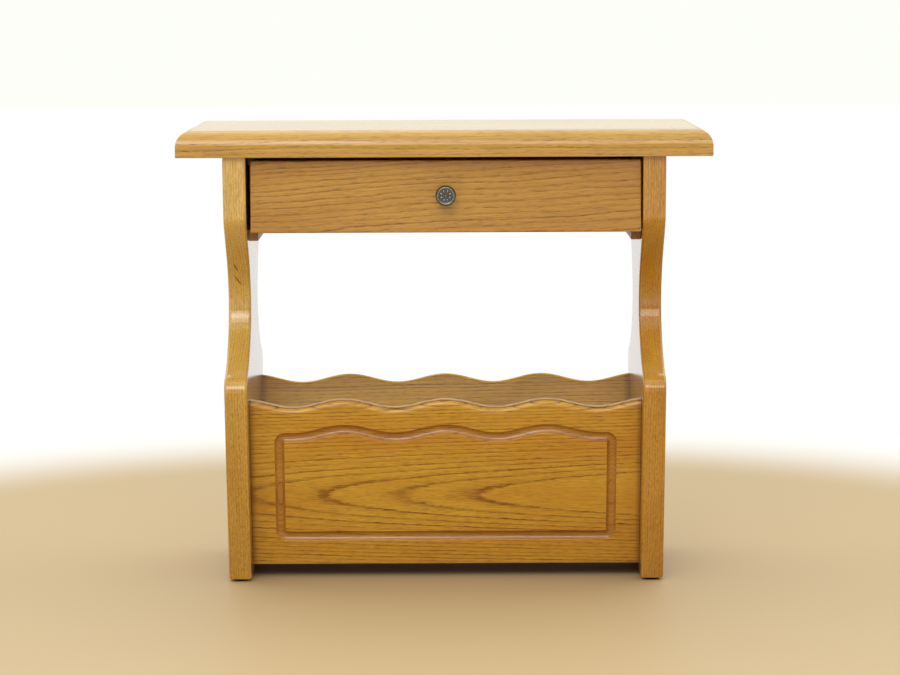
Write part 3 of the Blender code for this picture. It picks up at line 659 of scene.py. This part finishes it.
def grooveCutter():
    look = grooveLook
    flatFrom = look["waves"] * rackLook["period"]
    middle = rackHeight(-1) - look["drop"]
    high = middle + scallop(flatFrom)
    path = []
    for step in range(2 * look["steps"] + 1):
        x = flatFrom * (step / look["steps"] - 1)
        path.append((x, middle + scallop(x)))
    for x, z, firstAngle in ((look["half"], high, 90), (look["half"], look["rise"], 0),
                             (-look["half"], look["rise"], -90), (-look["half"], high, -180)):
        centreX = x - math.copysign(look["corner"], x)
        centreZ = z - look["corner"] if z == high else z + look["corner"]
        for turn in range(0, 91, 15):
            angle = math.radians(firstAngle - turn)
            path.append((centreX + look["corner"] * math.cos(angle),
                         centreZ + look["corner"] * math.sin(angle)))
    curve = bpy.data.curves.new("grooveCutter", "CURVE")
    curve.dimensions = "3D"
    curve.bevel_depth = look["radius"]
    curve.bevel_resolution = 6
    spline = curve.splines.new("POLY")
    spline.points.add(len(path) - 1)
    for point, (x, z) in zip(spline.points, path):
        point.co = (x, look["depth"] - look["radius"], z, 1)
    spline.use_cyclic_u = True
    cutter = bpy.data.objects.new("grooveCutter", curve)
    bpy.context.scene.collection.objects.link(cutter)
    pick(cutter)
    bpy.ops.object.convert(target="MESH")
    cutter.data.materials.clear()
    cutter.data.materials.append(oakGroove)
    return cutter


def makeRackFront():
    panel = rackBlank("rackFront", -1)
    panel.data.materials.append(oakRackFront)
    cutter = grooveCutter()
    pick(panel)
    applyModifier(panel, "BOOLEAN", object=cutter, operation="DIFFERENCE", solver="EXACT",
                  material_mode="TRANSFER")
    bpy.data.objects.remove(cutter, do_unlink=True)
    editMode(panel)
    # the router's sharp edge, eased by sanding
    bpy.ops.mesh.select_all(action="DESELECT")
    mesh = bmesh.from_edit_mesh(panel.data)
    for edge in mesh.edges:
        tones = {face.material_index for face in edge.link_faces}
        edge.select_set(len(tones) == 2)
    bmesh.update_edit_mesh(panel.data)
    bpy.ops.mesh.bevel(offset=grooveLook["lip"], segments=3, profile=0.5, affect="EDGES", clamp_overlap=False)
    objectMode()
    placeRackPanel(panel, -1)
    finishPiece(panel, None, "frame", ["rack_front_panel"])


def makeRackBack():
    panel = rackBlank("rackBack", 1)
    placeRackPanel(panel, 1)
    finishPiece(panel, oakRackBack, "frame", ["rack_back_panel"])


makeRackFront()
makeRackBack()
print("rack panels cut")

# node: (piece, arris in mm, material, body, slot); a board with one on the left and one on
# the right is listed once, without the side
boardLook = {
    "back_rail": ("backRail", 1.0, oakRail, "frame", "oak_inner"),
    "drawer_runner": ("runner", 0.6, oakInnerLong, "frame", "oak_inner"),
    "top_cleat": ("cleat", 0.6, oakInnerLong, "frame", "oak_inner"),
    "drawer_stop": ("stop", 0.6, oakInner, "frame", "oak_inner"),
    "drawer_front": ("drawerFront", 1.8, oakDrawer, "drawer", "oak_drawer_front"),
    "drawer_side": ("drawerSide", 0.8, oakBoxSides, "drawer", "drawer_box"),
    "drawer_back": ("drawerBack", 0.8, oakBoxCross, "drawer", "drawer_box"),
    "drawer_bottom": ("drawerBottom", 0.5, oakBoxCross, "drawer", "drawer_box"),
}


def planeBoard(name, node, arris):
    low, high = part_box(node)
    board = startCube(name, low, high)
    editMode(board)
    bpy.ops.mesh.select_all(action="SELECT")
    bpy.ops.mesh.bevel(offset=arris * mm, segments=3, profile=0.5, affect="EDGES")
    objectMode()
    return board


def makeBoards():
    for node, (name, arris, material, body, slot) in boardLook.items():
        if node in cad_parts:
            finishPiece(planeBoard(name, node, arris), material, body, [node])
            continue
        leftNode, rightNode = node + "_left", node + "_right"
        left = planeBoard(name + "Left", leftNode, arris)
        right = twin(left, name + "Right", leftNode, rightNode)
        finishPiece(left, material, body, [leftNode])
        finishPiece(right, material, body, [rightNode])


makeBoards()
print("boards planed")

knobLook = {
    "radius": 11.0,      # mm, all along its own axis from the drawer's face
    "reach": 19.9,
    "faceDip": 1.2,      # how far the face lies below the top of the rim
    "rimDip": 0.9,       # and the step round it
    "steps": 64,
    "seat": 0.3,         # the axis starts this far inside the drawer's face
    # rings of low buttons: count, ring radius, dip, half sizes, doming and first angle
    "bead": (14, 8.35, 0.9, (1.0, 1.0), 0.85, 0.0),
    "petal": (8, 5.1, 1.2, (2.1, 1.25), 0.95, 22.5),
    "innerBead": (6, 2.45, 1.2, (0.75, 0.75), 0.9, 0.0),
    "stud": (1, 0.0, 1.2, (1.15, 1.15), 1.15, 0.0),
}


def knobFrame():
    low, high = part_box("drawer_knob")
    return Vector(((low.x + high.x) / 2, high.y, (low.z + high.z) / 2))


def makeKnobBody(seat):
    # (radius, distance from the drawer) in mm, crown first
    reach, radius, seatGap = knobLook["reach"], knobLook["radius"], knobLook["seat"]
    face, step = reach - knobLook["faceDip"], reach - knobLook["rimDip"]
    profile = [(0.0, face), (7.4, face), (7.8, step), (8.9, reach - 0.2),
               (9.3, reach - 0.2), (9.9, reach - 0.7), (10.6, reach - 1.8), (radius, reach - 3.4),
               (radius, reach - 4.6), (10.5, reach - 6.2), (9.2, reach - 8.0), (7.4, reach - 9.6),
               (5.8, reach - 11.2), (5.1, reach - 12.8), (5.0, 5.4), (5.4, 3.9), (6.6, 2.4),
               (7.5, 1.6), (7.5, seatGap), (0.0, seatGap)]
    bpy.ops.object.select_all(action="DESELECT")
    bpy.ops.mesh.primitive_plane_add(size=mm, location=seat)
    knob = bpy.context.active_object
    knob.name = "knobBody"
    applyTransform(knob)
    editMode(knob, "VERT")
    bpy.ops.mesh.select_all(action="SELECT")
    bpy.ops.mesh.merge(type="CENTER")
    bpy.ops.transform.translate(value=(0, -profile[0][1] * mm, 0))
    for (r, d), (nextR, nextD) in zip(profile, profile[1:]):
        move = ((nextR - r) * mm, (d - nextD) * mm, 0)
        bpy.ops.mesh.extrude_region_move(TRANSFORM_OT_translate={"value": move})
    bpy.ops.mesh.select_all(action="SELECT")
    bpy.ops.mesh.spin(steps=knobLook["steps"], angle=math.tau, center=seat, axis=(0, 1, 0))
    bpy.ops.mesh.select_all(action="SELECT")
    bpy.ops.mesh.remove_doubles(threshold=0.01 * mm)
    bpy.ops.mesh.normals_make_consistent(inside=False)
    objectMode()
    finishPiece(knob, pewterAntiqued, "drawer", ["drawer_knob"], angle=50)


def ringOf(blank, seat, count, ring, firstAngle):
    copies = []
    for step in range(count):
        copy = blank.copy()
        copy.data = blank.data.copy()
        bpy.context.scene.collection.objects.link(copy)
        angle = math.tau * step / count + firstAngle
        turn = Matrix.Rotation(-angle, 4, "Y")
        copy.data.transform(Matrix.Translation(seat) @ turn @ Matrix.Translation(Vector((ring * mm, 0, 0))))
        copies.append(copy)
    bpy.data.objects.remove(blank, do_unlink=True)
    return copies


def button(name, size, doming):
    # a low domed button at the origin, its dome towards -Y; size is its half width and half height in mm
    bpy.ops.object.select_all(action="DESELECT")
    bpy.ops.mesh.primitive_uv_sphere_add(segments=16, ring_count=8, radius=mm)
    piece = bpy.context.active_object
    piece.name = name
    piece.scale = (size[0], doming, size[1])
    applyTransform(piece)
    editMode(piece, "FACE")
    selectByPlace(piece, faceTest=lambda face: face.calc_center_median().y > 0.15 * doming * mm)
    bpy.ops.mesh.inset(thickness=0.02 * mm)
    objectMode()
    return piece


def makeKnobRosette(seat):
    pieces = []
    for name in ("bead", "petal", "innerBead", "stud"):
        count, ring, dip, size, doming, firstAngle = knobLook[name]
        spot = seat - Vector((0, (knobLook["reach"] - dip) * mm, 0))
        pieces += ringOf(button(name, size, doming), spot, count, ring, math.radians(firstAngle))
    bpy.ops.object.select_all(action="DESELECT")
    for piece in pieces:
        piece.select_set(True)
    bpy.context.view_layer.objects.active = pieces[0]
    bpy.ops.object.join()
    pieces[0].name = "knobRosette"
    finishPiece(pieces[0], pewterAntiqued, "drawer", (), angle=60)


knobSeat = knobFrame() + Vector((0, knobLook["seat"] * mm, 0))
makeKnobBody(knobSeat)
makeKnobRosette(knobSeat)
print("knob cast")


def dressFramePart(node, piece):
    if "dowel" in node:
        return beechTurned
    if "screw" in node or "_pin_" in node:
        return steelZincPlated
    if "glide" in node:
        return feltDark
    if node == "rack_bottom_board":
        return oakInner
    return None


for node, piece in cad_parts.items():
    material = dressFramePart(node, piece)
    if material:
        piece.data.materials.clear()
        piece.data.materials.append(material)
print("small parts dressed")

# a plain floor, beige round the table and fading to the room's white
stageLook = {"radius": 14.0, "beige": "#B89E76", "white": "#FFFFFF", "beigeTo": 0.75, "whiteFrom": 1.35}


def makeStage():
    bpy.ops.object.select_all(action="DESELECT")
    bpy.ops.mesh.primitive_circle_add(vertices=96, radius=stageLook["radius"], fill_type="NGON")
    floor = bpy.context.active_object
    floor.name = "floor"
    material, tree, shader = newMaterial("floorPale")
    place = addNode(tree, "TexCoord")
    reach = addNode(tree, "VectorMath", {"operation": "LENGTH"}, {0: place.outputs["Object"]})
    fade = addNode(tree, "MapRange", {"From Min": stageLook["beigeTo"], "From Max": stageLook["whiteFrom"],
                                      "interpolation_type": "SMOOTHSTEP"}, {"Value": reach.outputs["Value"]})
    colour = addNode(tree, "Mix", {"data_type": "RGBA", 6: linearColour(stageLook["beige"]),
                                   7: linearColour(stageLook["white"])}, {0: fade.outputs[0]})
    tree.links.new(colour.outputs[2], shader.inputs["Base Color"])
    shader.inputs["Roughness"].default_value = 0.6
    glow = addNode(tree, "Emission", {"Color": (1, 1, 1, 1), "Strength": 1.0})
    blend = addNode(tree, "MixShader", feeds={0: fade.outputs[0], 1: shader.outputs[0], 2: glow.outputs[0]})
    output = next(node for node in tree.nodes if node.type == "OUTPUT_MATERIAL")
    tree.links.new(blend.outputs[0], output.inputs["Surface"])
    floor.data.materials.append(material)


def addSoftbox(name, spot, aim, size, power):
    data = bpy.data.lights.new(name, "AREA")
    data.shape = "RECTANGLE"
    data.size, data.size_y = size
    data.energy = power
    light = bpy.data.objects.new(name, data)
    bpy.context.scene.collection.objects.link(light)
    light.location = spot
    light.visible_camera = False
    light.rotation_euler = (Vector(aim) - Vector(spot)).to_track_quat("-Z", "Y").to_euler()


# white behind the table, dimmer in front of it, brightest overhead
skyLook = {"colour": (0.98, 1, 0.935, 1), "front": 0.20, "back": 1.0, "overhead": 0.85}
# place, aim, size in metres and watts
boxLook = {
    "fillBox": ((0.0, -3.6, 2.1), (0, 0, 0.4), (2.4, 1.7), 46),
    "keyBox": ((-0.8, -2.6, 2.4), (0, 0, 0.3), (1.5, 1.5), 22),
}


def makeLights():
    world = bpy.data.worlds.new("paleRoom")
    world.use_nodes = True
    tree = world.node_tree
    tree.nodes.clear()
    place = addNode(tree, "TexCoord")
    split = addNode(tree, "SeparateXYZ", feeds={0: place.outputs["Generated"]})
    behind = addNode(tree, "MapRange", {"From Min": -0.5, "From Max": 0.3, "To Min": skyLook["front"],
                                        "To Max": skyLook["back"], "interpolation_type": "SMOOTHSTEP"},
                     {"Value": split.outputs[1]})
    above = addNode(tree, "MapRange", {"From Min": 0.25, "From Max": 0.85, "To Max": skyLook["overhead"],
                                       "interpolation_type": "SMOOTHSTEP"}, {"Value": split.outputs[2]})
    strength = addNode(tree, "Math", {"operation": "ADD"}, {0: behind.outputs[0], 1: above.outputs[0]})
    sky = addNode(tree, "Background", {"Color": skyLook["colour"]}, {"Strength": strength.outputs[0]})
    addNode(tree, "OutputWorld", feeds={"Surface": sky.outputs[0]})
    bpy.context.scene.world = world
    for name, setting in boxLook.items():
        addSoftbox(name, *setting)


makeStage()
makeLights()
bpy.context.scene.view_settings.view_transform = "Standard"
print("stage lit")
